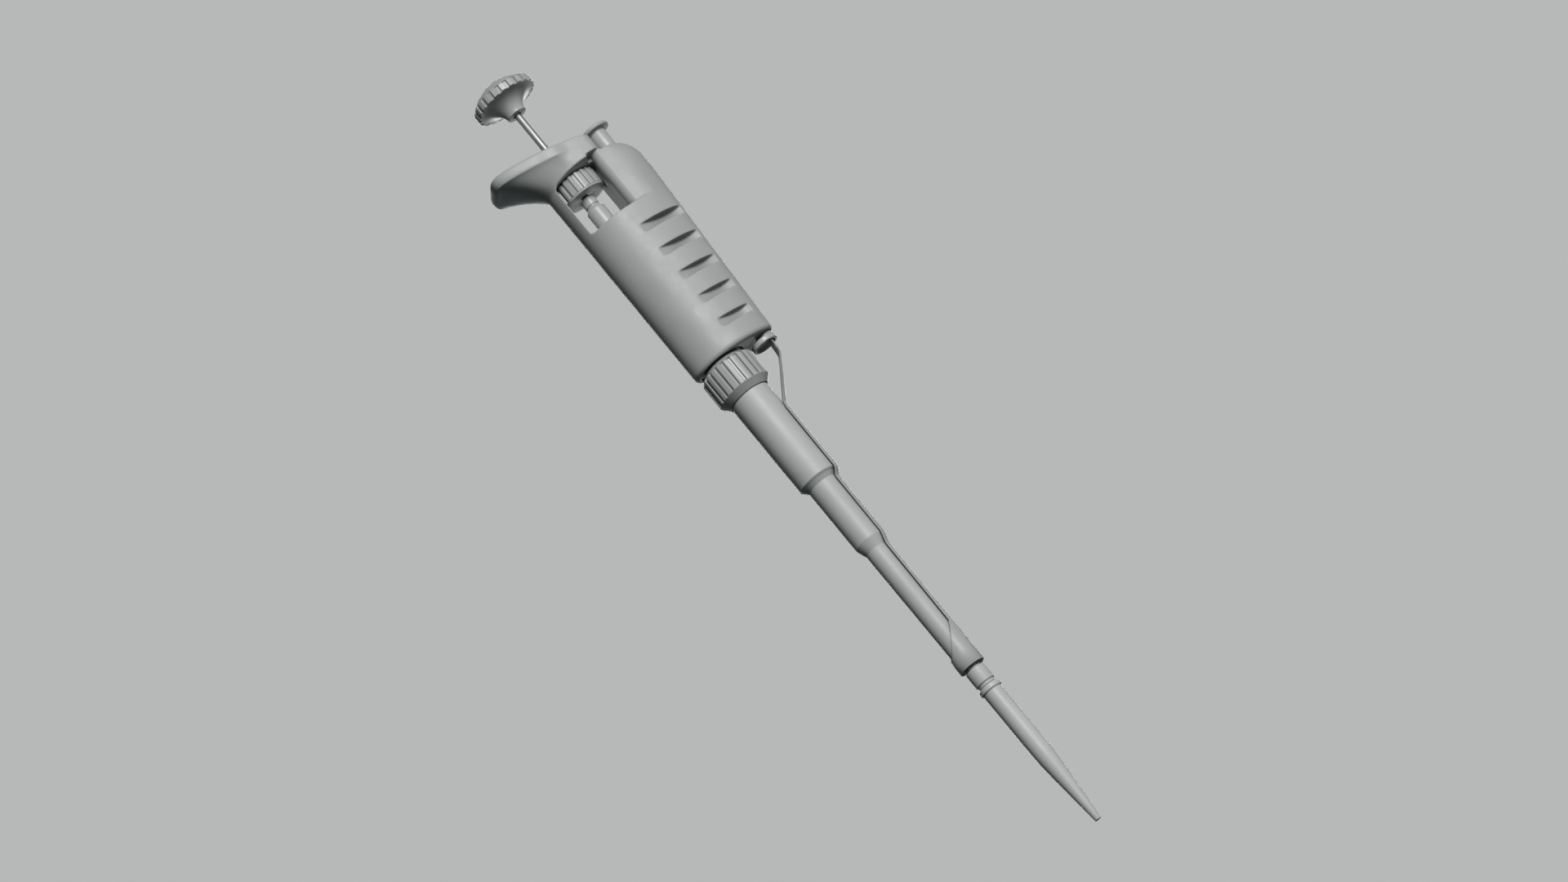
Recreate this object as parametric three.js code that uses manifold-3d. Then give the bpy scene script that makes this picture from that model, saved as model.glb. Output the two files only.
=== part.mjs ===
// An adjustable air-displacement micropipette of the 20 to 200 microlitre class.
// Millimetres, +Z up along the plunger axis, tip down. The finger rest reaches towards -X and the
// tip ejector runs along the +X side. The origin is on the plunger axis, level with the underside
// of the finger rest's tip, where the fork of a pipette stand takes hold.
import * as THREE from 'three';
import { mergeVertices } from 'three/addons/utils/BufferGeometryUtils.js';
import Module from 'manifold-3d';

const wasm = await Module();
wasm.setup();

// ---------------------------------------------------------------- driving dimensions
const GAP = 0.3;                    // clearance between neighbouring pieces
const ROUND = 32;                   // facets round a visible turned piece
const INNER_ROUND = 20;             // facets round a hidden turned piece

// handle
const HANDLE_BOTTOM = -80.8;
const WINDOW_FLOOR = -26.8;
const WINDOW_TOP = -7.05;           // at the plunger axis
const WINDOW_TOP_SLOPE = 0.1;       // rise per mm towards +X
const WINDOW_HALF_WIDTH = 7.1;
const TAPER_TOP = -18;              // the oval has its full size above this level
const OVAL_WIDTH_TOP = 10.06;       // half width across the broad faces
const OVAL_WIDTH_BOTTOM = 9.05;
const OVAL_CENTRE_TOP = 3.5;        // where the oval is widest
const OVAL_CENTRE_BOTTOM = 2.6;
const OVAL_BACK_TOP = 18.4;         // from the widest place to the ejector side
const OVAL_BACK_BOTTOM = 16.1;
const OVAL_FRONT_X = -9.55;         // the finger rest's side of the oval
const TOWER_TOP = -6.7;
const TOWER_HALF_WIDTH = 8.2;
const TOWER_SHOULDER = 7.2;         // height of the rounded shoulder
const TOWER_SHOULDER_IN = 4.5;      // how far the shoulder draws in
const RING_POINTS = 56;

// finger rest
const REST_THICKNESS = 3.5;
const REST_TOP = 1.5;               // at the plunger axis
const REST_SLOPE = 0.14;            // rise per mm towards -X
const REST_REACH = 21.6;
const REST_HALF_WIDTH = 10.75;
const REST_CORNER_POWER = 5;
const REST_BACK_END = 10.9;
const COVE_BOTTOM = -9;

// grip recesses
const GRIP_COUNT = 5;
const GRIP_PITCH = 9.35;
const GRIP_HEIGHT = 2.9;
const GRIP_FIRST_BOTTOM = -36.8;
const GRIP_START_X = 5.2;
const GRIP_HOLLOW = 0.7;            // how far the recess floor is dished below its chord

// volume display on the hidden broad face
const DISPLAY_X = 0.3;
const DISPLAY_WIDTH = 7.2;
const DISPLAY_BOTTOM = -42.1;
const DISPLAY_TOP = -29.3;

// plunger
const ROD_RADIUS = 1.1;
const KNOB_APEX = 31.7;
const KNOB_RIM_TOP = 27.1;
const KNOB_RIM_BOTTOM = 24.8;
const KNOB_NECK_BOTTOM = 19.6;
const KNOB_RADIUS = 10.25;
const KNOB_NOTCHES = 22;
const KNOB_NOTCH_DEPTH = 0.55;
const INSERT_SEAT = 29.6;
const INSERT_RADIUS = 5.2;
const COLLAR_TOP = -66.3;
const COLLAR_HEIGHT = 3;
const PISTON_RADIUS = 2.24;
const PISTON_TOP = -105;
const PISTON_BOTTOM = -150;

// volume setting
const WHEEL_RADIUS = 7.05;
const WHEEL_TOP = -8.2;
const WHEEL_BOTTOM = -14.4;
const WHEEL_RIBS = 20;
const WHEEL_RIB_DEPTH = 0.5;
const WHEEL_LIP = 0.9;              // smooth rim below the ribs
const SLEEVE_RADIUS = 3.1;
const SLEEVE_BOTTOM = -43;
const DRUM_RADIUS = 6.2;
const DRUM_HEIGHT = 3.6;
const DRUM_PITCH = 3.9;
const DRUM_STACK_BOTTOM = -41.4;

// lower assembly
const SHAFT_RADII = [6.43, 4.74, 3.53];
const NUT_RADIUS = 8.85;
const NUT_RIBS = 22;
const NUT_RIB_DEPTH = 0.42;

// ejector
const EJECTOR_X = 15.1;
const EJECTOR_STEM_RADIUS = 2.9;
const EJECTOR_ROD_RADIUS = 1.5;
const SHEET = 0.45;                 // thickness of the ejector's formed sheet

// ---------------------------------------------------------------- helpers
function toManifold(geometry) {
  const bare = geometry.clone();
  bare.deleteAttribute('normal');
  bare.deleteAttribute('uv');
  const merged = mergeVertices(bare, 1e-5);
  const vertProperties = new Float32Array(merged.attributes.position.array);
  const triVerts = new Uint32Array(merged.index.array);
  return new wasm.Manifold(new wasm.Mesh({ numProp: 3, vertProperties, triVerts }));
}

function toGeometry(manifold) {
  const mesh = manifold.getMesh();
  const geometry = new THREE.BufferGeometry();
  geometry.setAttribute('position', new THREE.BufferAttribute(mesh.vertProperties, 3));
  geometry.setIndex(new THREE.BufferAttribute(mesh.triVerts, 1));
  return geometry;
}

// A closed mesh turned so that its faces point outwards.
function outward(geometry) {
  const position = geometry.attributes.position;
  const index = geometry.index.array;
  const [a, b, c] = [new THREE.Vector3(), new THREE.Vector3(), new THREE.Vector3()];
  let volume = 0;
  for (let i = 0; i < index.length; i += 3) {
    a.fromBufferAttribute(position, index[i]);
    b.fromBufferAttribute(position, index[i + 1]);
    c.fromBufferAttribute(position, index[i + 2]);
    volume += a.dot(b.cross(c));
  }
  if (volume < 0) {
    for (let i = 0; i < index.length; i += 3) {
      [index[i], index[i + 1]] = [index[i + 1], index[i]];
    }
  }
  return geometry;
}

// A body of revolution about +Z from [radius, z] points.
function turned(points, segments = ROUND) {
  const profile = points.map(([r, z]) => new THREE.Vector2(r, z));
  const geometry = new THREE.LatheGeometry(profile, segments);
  geometry.rotateX(Math.PI / 2);
  geometry.deleteAttribute('normal');
  geometry.deleteAttribute('uv');
  return outward(mergeVertices(geometry, 1e-4));
}

// A ring or tube about +Z.
function ring(inner, outer, bottom, top, segments = INNER_ROUND) {
  return turned([[inner, bottom], [outer, bottom], [outer, top], [inner, top], [inner, bottom]], segments);
}

function rod(radius, bottom, top, segments = INNER_ROUND) {
  return turned([[0, bottom], [radius, bottom], [radius, top], [0, top]], segments);
}

function rodAt(x, radius, bottom, top, segments = INNER_ROUND) {
  return rod(radius, bottom, top, segments).translate(x, 0, 0);
}

function boxBetween(low, high) {
  const size = high.map((value, i) => value - low[i]);
  const geometry = new THREE.BoxGeometry(...size);
  return geometry.translate(low[0] + size[0] / 2, low[1] + size[1] / 2, low[2] + size[2] / 2);
}

// A flat outline in XY, raised from bottom to top.
function raised(shape, bottom, top, curveSegments = 8) {
  const options = { depth: top - bottom, bevelEnabled: false, curveSegments };
  const geometry = new THREE.ExtrudeGeometry(shape, options);
  return geometry.translate(0, 0, bottom);
}

// A closed skin through rings of points. The ends are capped by a fan from the middle, or for a
// folded strip by joining each point to the one opposite it.
function loft(rings, folded = false) {
  const count = rings[0].length;
  const last = (rings.length - 1) * count;
  const positions = rings.flat().flatMap((p) => [p.x, p.y, p.z]);
  const index = [];
  for (let r = 0; r < last; r += count) {
    for (let i = 0; i < count; i += 1) {
      const j = (i + 1) % count;
      index.push(r + i, r + j, r + count + j, r + i, r + count + j, r + count + i);
    }
  }
  for (const start of [0, last]) {
    const add = (a, b, c) => (start === 0 ? index.push(c, b, a) : index.push(a, b, c));
    if (folded) {
      for (let i = 0; i + 1 < count / 2; i += 1) {
        const opposite = start + count - 1 - i;
        add(start + i, start + i + 1, opposite);
        add(start + i + 1, opposite - 1, opposite);
      }
    } else {
      const centre = new THREE.Vector3();
      rings[start / count].forEach((p) => centre.addScaledVector(p, 1 / count));
      const hub = positions.length / 3;
      positions.push(centre.x, centre.y, centre.z);
      for (let i = 0; i < count; i += 1) add(hub, start + i, start + ((i + 1) % count));
    }
  }
  const geometry = new THREE.BufferGeometry();
  geometry.setAttribute('position', new THREE.Float32BufferAttribute(positions, 3));
  geometry.setIndex(index);
  return outward(geometry);
}

// A round outline with straight-sided teeth.
function toothedShape(outer, inner, count, share) {
  const shape = new THREE.Shape();
  const step = (2 * Math.PI) / count;
  for (let i = 0; i < count; i += 1) {
    const start = i * step;
    const corners = [[outer, 0], [outer, share], [inner, share + 0.06], [inner, 0.94]];
    corners.forEach(([radius, part], k) => {
      const angle = start + part * step;
      const method = i === 0 && k === 0 ? 'moveTo' : 'lineTo';
      shape[method](radius * Math.cos(angle), radius * Math.sin(angle));
    });
  }
  shape.closePath();
  return shape;
}

class Helix extends THREE.Curve {
  constructor(radius, bottom, top, turns) {
    super();
    Object.assign(this, { radius, bottom, top, turns });
  }

  getPoint(t, target = new THREE.Vector3()) {
    const angle = 2 * Math.PI * this.turns * t;
    const z = this.bottom + (this.top - this.bottom) * t;
    return target.set(this.radius * Math.cos(angle), this.radius * Math.sin(angle), z);
  }
}

// An open coil spring of round wire.
function coilSpring(radius, wire, bottom, top, turns) {
  const section = new THREE.Shape();
  section.absarc(0, 0, wire / 2, 0, 2 * Math.PI, false);
  const path = new Helix(radius, bottom + wire, top - wire, turns);
  const options = { steps: Math.round(turns * 9), bevelEnabled: false, extrudePath: path, curveSegments: 3 };
  return new THREE.ExtrudeGeometry(section, options);
}

// ---------------------------------------------------------------- handle
// Half sizes of the handle's oval at a height.
function ovalAt(z) {
  const t = THREE.MathUtils.clamp((TAPER_TOP - z) / (TAPER_TOP - HANDLE_BOTTOM), 0, 1);
  const centre = THREE.MathUtils.lerp(OVAL_CENTRE_TOP, OVAL_CENTRE_BOTTOM, t);
  let back = THREE.MathUtils.lerp(OVAL_BACK_TOP, OVAL_BACK_BOTTOM, t);
  const rise = THREE.MathUtils.clamp((z - (TOWER_TOP - TOWER_SHOULDER)) / TOWER_SHOULDER, 0, 1);
  back -= TOWER_SHOULDER_IN * (1 - Math.sqrt(1 - rise * rise));
  const width = THREE.MathUtils.lerp(OVAL_WIDTH_TOP, OVAL_WIDTH_BOTTOM, t);
  return { centre, back, front: centre - OVAL_FRONT_X, width };
}

function ovalRing(z, inset = 0) {
  const { centre, back, front, width } = ovalAt(z);
  const points = [];
  for (let i = 0; i < RING_POINTS; i += 1) {
    const angle = (2 * Math.PI * i) / RING_POINTS;
    const reach = (Math.cos(angle) > 0 ? back : front) - inset;
    points.push(new THREE.Vector3(centre + reach * Math.cos(angle), (width - inset) * Math.sin(angle), z));
  }
  return points;
}

// The finger rest's outline, as far from the oval's centre as it reaches in each direction.
function restPoint(angle) {
  const { centre, back, front, width } = ovalAt(TAPER_TOP);
  const [c, s] = [Math.cos(angle), Math.sin(angle)];
  const oval = new THREE.Vector2(centre + (c > 0 ? back : front) * c, width * s);
  if (c >= 0) return oval;
  const direction = Math.atan2(oval.y, oval.x - centre);
  const along = Math.abs(Math.cos(direction) / (REST_REACH + centre)) ** REST_CORNER_POWER;
  const across = Math.abs(Math.sin(direction) / REST_HALF_WIDTH) ** REST_CORNER_POWER;
  const blend = Math.min(1, -c * 4);
  const radius = (along + across) ** (-1 / REST_CORNER_POWER);
  const rest = new THREE.Vector2(centre + radius * Math.cos(direction), radius * Math.sin(direction));
  return oval.lerp(rest, blend);
}

// The upper body: from the oval through a cove out to the finger rest, which rises towards -X.
function upperBody() {
  const rings = [];
  const plateBottom = REST_TOP - REST_THICKNESS;
  const steps = [0, 0.3, 0.55, 0.75, 0.9, 0.98, 1];
  const levels = steps.map((s) => {
    const z = THREE.MathUtils.lerp(COVE_BOTTOM, plateBottom, s);
    return { z, out: 1 - Math.sqrt(1 - s * s) };
  });
  levels.push({ z: REST_TOP - 0.5, out: 1 });
  levels.push({ z: REST_TOP, out: 0.97 });
  for (const { z, out } of levels) {
    const points = [];
    const tilt = THREE.MathUtils.clamp((z - COVE_BOTTOM) / (plateBottom - COVE_BOTTOM), 0, 1);
    const oval = ovalRing(TAPER_TOP);
    for (let i = 0; i < RING_POINTS; i += 1) {
      const target = restPoint((2 * Math.PI * i) / RING_POINTS);
      const x = THREE.MathUtils.lerp(oval[i].x, target.x, out);
      const y = THREE.MathUtils.lerp(oval[i].y, target.y, out);
      points.push(new THREE.Vector3(x, y, z - tilt * REST_SLOPE * x));
    }
    rings.push(points);
  }
  return loft(rings);
}

function lowerBody() {
  const levels = [[HANDLE_BOTTOM, 0.9], [HANDLE_BOTTOM + 0.3, 0.35], [HANDLE_BOTTOM + 1, 0], [TAPER_TOP, 0]];
  for (const rise of [0, 0.4, 0.7, 0.88, 0.97]) {
    levels.push([TOWER_TOP - TOWER_SHOULDER * (1 - rise), rise > 0.9 ? 0.2 : 0]);
  }
  levels.push([TOWER_TOP, 0.8]);
  return loft(levels.map(([z, inset]) => ovalRing(z, inset)));
}

// A shape given in X and Z, cut through between two Y values.
function sideCut(shape, lowY, highY) {
  const options = { depth: highY - lowY, bevelEnabled: false, curveSegments: 6 };
  const geometry = new THREE.ExtrudeGeometry(shape, options);
  geometry.rotateX(Math.PI / 2);
  return geometry.translate(0, highY, 0);
}

function windowShape() {
  const shape = new THREE.Shape();
  const [left, right] = [-WINDOW_HALF_WIDTH, WINDOW_HALF_WIDTH + 0.3];
  const top = (x) => WINDOW_TOP + WINDOW_TOP_SLOPE * x;
  const round = 1.6;
  shape.moveTo(left + round, WINDOW_FLOOR);
  shape.lineTo(right, WINDOW_FLOOR);
  shape.lineTo(right, top(right));
  shape.lineTo(left + round, top(left + round));
  shape.quadraticCurveTo(left, top(left), left, top(left) - round);
  shape.lineTo(left, WINDOW_FLOOR + round);
  shape.quadraticCurveTo(left, WINDOW_FLOOR, left + round, WINDOW_FLOOR);
  return shape;
}

function towerSideShape() {
  const shape = new THREE.Shape();
  const [left, right] = [WINDOW_HALF_WIDTH - 0.4, 24];
  shape.moveTo(left, WINDOW_FLOOR);
  shape.lineTo(right, WINDOW_FLOOR);
  shape.lineTo(right, WINDOW_TOP + WINDOW_TOP_SLOPE * right);
  shape.lineTo(left, WINDOW_TOP + WINDOW_TOP_SLOPE * left);
  shape.closePath();
  return shape;
}

// One crescent recess: a dished cut along a chord of the oval.
function gripCut(i, side) {
  const bottom = GRIP_FIRST_BOTTOM - GRIP_PITCH * i;
  const oval = ovalAt(bottom + GRIP_HEIGHT / 2);
  const onOval = (x) => oval.width * Math.sqrt(Math.max(0, 1 - ((x - oval.centre) / oval.back) ** 2));
  const endX = oval.centre + oval.back - 1.2 - 0.4 * i;
  const start = new THREE.Vector2(GRIP_START_X, onOval(GRIP_START_X));
  const end = new THREE.Vector2(endX, onOval(endX));
  const middle = start.clone().lerp(end, 0.5);
  const along = end.clone().sub(start).normalize();
  const out = new THREE.Vector2(-along.y, along.x);
  const dish = middle.clone().addScaledVector(out, -2 * GRIP_HOLLOW);
  const far = 6;
  const shape = new THREE.Shape();
  shape.moveTo(start.x, start.y);
  shape.quadraticCurveTo(dish.x, dish.y, end.x, end.y);
  shape.lineTo(end.x + out.x * far, end.y + out.y * far);
  shape.lineTo(start.x + out.x * far, start.y + out.y * far);
  shape.closePath();
  const cut = raised(shape, bottom, bottom + GRIP_HEIGHT, 6);
  return side > 0 ? cut : outward(mergeVertices(cut.scale(1, -1, 1)));
}

function cutAll(body, cuts) {
  return cuts.reduce((left, cut) => left.subtract(toManifold(cut)), body);
}

function handleBlank() {
  const restEnd = boxBetween([REST_BACK_END, -30, TOWER_TOP - TOWER_SHOULDER], [40, 30, 20]);
  const upper = toManifold(upperBody()).subtract(toManifold(restEnd));
  const scallop = rodAt(EJECTOR_X, 5.6, TOWER_TOP, 20, ROUND);
  return toManifold(lowerBody()).add(upper.subtract(toManifold(scallop)));
}

function handleGeometry() {
  const lowX = DISPLAY_X - DISPLAY_WIDTH / 2;
  const highX = DISPLAY_X + DISPLAY_WIDTH / 2;
  const cuts = [
    sideCut(windowShape(), -15, 15),
    sideCut(towerSideShape(), TOWER_HALF_WIDTH, 15),
    sideCut(towerSideShape(), -15, -TOWER_HALF_WIDTH),
    rod(WHEEL_RADIUS + 0.45, WHEEL_BOTTOM - 0.6, WHEEL_TOP + 0.6, ROUND),
    rod(2.7, -12, 6),
    rod(SLEEVE_RADIUS + GAP, -29, WINDOW_FLOOR + 1),
    rod(DRUM_RADIUS + 0.4, -43.5, -28.4, ROUND),
    rod(7.5, -85, -43.2, ROUND),
    rodAt(EJECTOR_X, EJECTOR_STEM_RADIUS + GAP, -50, 0),
    rodAt(EJECTOR_X, EJECTOR_ROD_RADIUS + GAP, -69, -49),
    rodAt(EJECTOR_X, 2.8, -85, -68.4),
    boxBetween([lowX - GAP, 7.4, DISPLAY_BOTTOM], [highX + GAP, 14, DISPLAY_TOP]),
    boxBetween([lowX + 1, 4, DISPLAY_BOTTOM + 1.1], [highX - 1, 8, DISPLAY_TOP - 1.1]),
  ];
  for (let i = 0; i < GRIP_COUNT; i += 1) cuts.push(gripCut(i, 1), gripCut(i, -1));
  return toGeometry(cutAll(handleBlank(), cuts));
}

// A clear pane that follows the handle's surface, set a little below it.
function displayWindow() {
  const low = [DISPLAY_X - DISPLAY_WIDTH / 2, 7.7, DISPLAY_BOTTOM + GAP];
  const high = [DISPLAY_X + DISPLAY_WIDTH / 2, 14, DISPLAY_TOP - GAP];
  const skin = toManifold(lowerBody().translate(0, -0.35, 0));
  return toGeometry(toManifold(boxBetween(low, high)).intersect(skin));
}

const rodBushing = () => ring(1.4, 2.4, WINDOW_TOP + 0.6, REST_TOP - 0.2);

// Wide where it lines the grip, narrower below where the connecting nut goes over it.
function chassisTube() {
  return turned([
    [6.2, -43.6], [7.2, -43.6], [7.2, -80.4], [5.95, -80.4], [5.95, -87.2], [5.3, -87.2],
    [5.3, -79], [6.2, -79], [6.2, -43.6],
  ], INNER_ROUND);
}

const micrometerNut = () => ring(3.9, 5.9, -59.5, -56);

// ---------------------------------------------------------------- plunger
function pushButton() {
  const sphere = 13.9;
  const centre = KNOB_APEX - sphere;
  const points = [[ROD_RADIUS + GAP, KNOB_NECK_BOTTOM], [3.24, KNOB_NECK_BOTTOM], [3.45, 20.6], [4.1, 21.8]];
  points.push([5.3, 23], [7.1, 24], [9.3, KNOB_RIM_BOTTOM], [KNOB_RADIUS, KNOB_RIM_BOTTOM]);
  points.push([KNOB_RADIUS, KNOB_RIM_TOP - 0.3], [KNOB_RADIUS - 0.25, KNOB_RIM_TOP]);
  const edge = Math.asin((KNOB_RADIUS - 0.6) / sphere);
  const seatRadius = INSERT_RADIUS + 0.3;
  const seat = Math.asin(seatRadius / sphere);
  for (let i = 0; i <= 4; i += 1) {
    const angle = THREE.MathUtils.lerp(edge, seat, i / 4);
    points.push([sphere * Math.sin(angle), centre + sphere * Math.cos(angle)]);
  }
  points.push([seatRadius, INSERT_SEAT], [0, INSERT_SEAT], [0, 22.6], [ROD_RADIUS + GAP, 22.6]);
  points.push([ROD_RADIUS + GAP, KNOB_NECK_BOTTOM]);
  const body = toManifold(turned(points, 2 * KNOB_NOTCHES));
  const notched = toothedShape(KNOB_RADIUS + 0.1, KNOB_RADIUS - KNOB_NOTCH_DEPTH, KNOB_NOTCHES, 0.5);
  const rim = toManifold(raised(notched, KNOB_NECK_BOTTOM - 9, KNOB_APEX + 9));
  return toGeometry(body.intersect(rim));
}

function buttonInsert() {
  const bottom = INSERT_SEAT + 0.3;
  return turned([
    [0, bottom], [INSERT_RADIUS, bottom], [INSERT_RADIUS, 30.7], [3.8, 31.25],
    [2.4, KNOB_APEX - 0.15], [1.8, KNOB_APEX], [0, KNOB_APEX],
  ], ROUND);
}

const pushRod = () => rod(ROD_RADIUS, PISTON_TOP + GAP, 22.3);
const rodCollar = () => ring(ROD_RADIUS + GAP, 4.4, COLLAR_TOP - COLLAR_HEIGHT, COLLAR_TOP);
const piston = () => rod(PISTON_RADIUS, PISTON_BOTTOM, PISTON_TOP);
const mainSpring = () => coilSpring(2.9, 0.6, -115.5, -69.6, 8);
const blowoutWasher = () => ring(3.7, 5, -85.2, -84.1);
const blowoutSpring = () => coilSpring(4.4, 0.8, -99.7, -85.5, 3);
const sealRetainer = () => ring(2.55, 3.3, -118, -115.9);
const ptfeSeal = () => ring(2.3, 3.3, -121, -118.3);

function oRing() {
  const section = [];
  for (let i = 0; i <= 10; i += 1) {
    const angle = (2 * Math.PI * i) / 10;
    section.push([2.85 + 0.5 * Math.cos(angle), -121.9 + 0.5 * Math.sin(angle)]);
  }
  return turned(section, INNER_ROUND);
}

// ---------------------------------------------------------------- volume setting
function thumbwheel() {
  const inner = WHEEL_RADIUS - WHEEL_RIB_DEPTH;
  const lipTop = WHEEL_BOTTOM + WHEEL_LIP;
  const ribs = raised(toothedShape(WHEEL_RADIUS, inner, WHEEL_RIBS, 0.44), lipTop, WHEEL_TOP);
  const core = rod(inner - 0.05, WHEEL_BOTTOM, WHEEL_TOP, ROUND);
  const rim = rod(WHEEL_RADIUS - 0.15, WHEEL_BOTTOM, lipTop, ROUND);
  const bore = rod(1.5, WHEEL_BOTTOM - 1, WHEEL_TOP + 1);
  const solid = toManifold(core).add(toManifold(ribs)).add(toManifold(rim));
  return toGeometry(solid.subtract(toManifold(bore)));
}

// Hub, groove and drive sleeve: turns with the thumbwheel and drives the stop screw inside it.
function driveSleeve() {
  const top = WHEEL_BOTTOM - GAP;
  return turned([
    [1.5, top], [2.4, top], [2.4, -17.5], [2.15, -17.6], [2.15, -18.1], [2.4, -18.2],
    [SLEEVE_RADIUS, -19.2], [SLEEVE_RADIUS, SLEEVE_BOTTOM], [2.3, SLEEVE_BOTTOM], [2.3, -20],
    [1.5, -20], [1.5, top],
  ]);
}

function drum(i) {
  const bottom = DRUM_STACK_BOTTOM + DRUM_PITCH * i;
  return ring(SLEEVE_RADIUS + GAP, DRUM_RADIUS, bottom, bottom + DRUM_HEIGHT, ROUND);
}

// Keyed shank in the drive sleeve above a threaded length in the micrometer nut.
function stopScrew() {
  const points = [[1.4, -66], [3.5, -66]];
  const threads = 5;
  for (let i = 0; i < threads; i += 1) {
    points.push([3.6, -65.2 + i * 3], [3.3, -63.7 + i * 3]);
  }
  points.push([3.3, -50], [2, -50], [2, -27], [1.4, -27], [1.4, -66]);
  return turned(points, INNER_ROUND);
}

// ---------------------------------------------------------------- lower assembly
function tipHolder() {
  const [first, second, third] = SHAFT_RADII;
  return turned([
    [7.1, -89.7], [7.1, -87.5], [5.6, -87.5], [5.6, -100], [3.6, -100], [3.6, -124], [2.54, -124],
    [2.54, -166], [1.2, -169], [0.9, -222.5],
    [1.75, -222.5], [2.15, -206.2], [2.78, -205.5], [2.78, -204.6], [3.2, -204.4], [3.2, -199.5],
    [2.5, -199.2], [2.5, -197.2], [3.35, -196.6],
    [third, -153.6], [second, -150.3], [second, -128.3], [first - 0.5, -127.0], [first, -126.3],
    [first, -89.7], [7.1, -89.7],
  ]);
}

function connectingNut() {
  const points = [
    [6.3, -81.1], [6.7, -81.1], [8.5, -82.6], [NUT_RADIUS, -82.9], [NUT_RADIUS, -91.5], [6.85, -93.6],
    [6.73, -93.6], [6.73, -91.2], [7.5, -91.2], [7.5, -85.2], [6.3, -84.2], [6.3, -81.1],
  ];
  const body = toManifold(turned(points, 2 * NUT_RIBS));
  const ribBottom = -91.4;
  const toothed = toothedShape(NUT_RADIUS + 0.1, NUT_RADIUS - NUT_RIB_DEPTH, NUT_RIBS, 0.5);
  const ribs = toManifold(raised(toothed, ribBottom, -70));
  const plain = toManifold(rod(NUT_RADIUS + 0.2, -100, ribBottom, 2 * NUT_RIBS));
  return toGeometry(body.intersect(ribs.add(plain)));
}

// Thrust washer between the tip holder's flange and the nut's lip.
const clampRing = () => ring(6.73, 7.2, -90.9, -90);

function pipetteTip() {
  return turned([
    [2.95, -205.8], [3.58, -206.1], [3.58, -207.4], [3.12, -207.7], [3.06, -230], [2.95, -233.5],
    [2.72, -237], [2.35, -241], [1.05, -255.8], [0.62, -256], [0.45, -255.8], [1.7, -239], [2.4, -231],
    [2.5, -207.5], [2.8, -205.9], [2.95, -205.8],
  ]);
}

// ---------------------------------------------------------------- tip ejector
function ejectorButton() {
  const local = [
    [0, -20], [EJECTOR_STEM_RADIUS, -20], [EJECTOR_STEM_RADIUS, 0.8], [4.95, 0.8], [4.95, 1.5],
    [4.6, 1.95], [3.6, 2.2], [0, 2.2],
  ];
  return turned(local).translate(EJECTOR_X, 0, 0);
}

const ejectorRod = () => rodAt(EJECTOR_X, EJECTOR_ROD_RADIUS, -75.7, -20 - GAP);

// Boss and eyelet disc that carry the sheet arm below the handle.
function ejectorFoot() {
  const boss = toManifold(rodAt(EJECTOR_X, 2.5, -82.2, -76, ROUND));
  const disc = toManifold(rodAt(13.75, 4.2, -83.7, -82, ROUND));
  const recess = toManifold(rodAt(13.75, 3.3, -84.5, -82.8, ROUND));
  return toGeometry(boss.add(disc).subtract(recess));
}

const ejectorSpring = () => coilSpring(2.3, 0.7, -49.7, -20.3, 6).translate(EJECTOR_X, 0, 0);

// Cross-section of the gutter-shaped sheet: an arc about an axis at x = hub, bulging towards +X.
function gutterRing(hub, radius, halfAngle, z) {
  const points = [];
  const steps = 6;
  for (let i = 0; i <= steps; i += 1) {
    const angle = -halfAngle + (2 * halfAngle * i) / steps;
    const r = radius + SHEET;
    points.push(new THREE.Vector3(hub + r * Math.cos(angle), r * Math.sin(angle), z));
  }
  for (let i = steps; i >= 0; i -= 1) {
    const angle = -halfAngle + (2 * halfAngle * i) / steps;
    points.push(new THREE.Vector3(hub + radius * Math.cos(angle), radius * Math.sin(angle), z));
  }
  return points;
}

// Formed sheet arm: down from the eyelet, in to the shaft, along its steps, and round it as a sleeve
// whose upper edge is cut obliquely.
function ejectorArm() {
  const degrees = Math.PI / 180;
  const stations = [
    [15.8 - 6.7, 6.7, 18, -83.1], [15.8 - 6.7, 6.7, 22, -87.2], [15.4 - 6.7, 6.7, 24, -88.4],
    [0.4, 6.7, 30, -101.4], [0, 6.75, 38, -103], [0, 6.75, 40, -126.6], [0, 6.4, 41, -127.6],
    [0, 5.1, 43, -129.4], [0, 5.05, 44, -150.6], [0, 4.4, 45, -152.6], [0, 3.9, 46, -154.6],
    [0, 3.95, 50, -190],
  ];
  const rings = stations.map(([hub, radius, angle, z]) => gutterRing(hub, radius, angle * degrees, z));
  const strip = toManifold(loft(rings, true));
  const sleeve = toManifold(ring(3.84, 3.84 + SHEET, -198.5, -180, ROUND));
  const slope = 1.5;
  const keep = new THREE.Shape();
  keep.moveTo(-6, -187.9 - 6 * slope);
  keep.lineTo(6, -187.9 + 6 * slope);
  keep.lineTo(6, -200);
  keep.lineTo(-6, -200);
  keep.closePath();
  return toGeometry(strip.add(sleeve.intersect(toManifold(sideCut(keep, -6, 6)))));
}

// ---------------------------------------------------------------- assembly
const GREY = {
  handle: [0xb9bbba, 0.45, 0],
  plastic: [0xc2c4c3, 0.4, 0],
  dark: [0x8f9392, 0.5, 0],
  steel: [0xc9cccd, 0.28, 1],
  brass: [0xb8a878, 0.35, 1],
  white: [0xe4e5e3, 0.5, 0],
  rubber: [0x3a3c3d, 0.8, 0],
  clear: [0xdfe6e8, 0.1, 0],
  tip: [0xd6d8d7, 0.35, 0],
};

function part(name, geometry, finish) {
  const [color, roughness, metalness] = GREY[finish];
  const mesh = new THREE.Mesh(geometry, new THREE.MeshStandardMaterial({ color, roughness, metalness }));
  mesh.name = name;
  return mesh;
}

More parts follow.
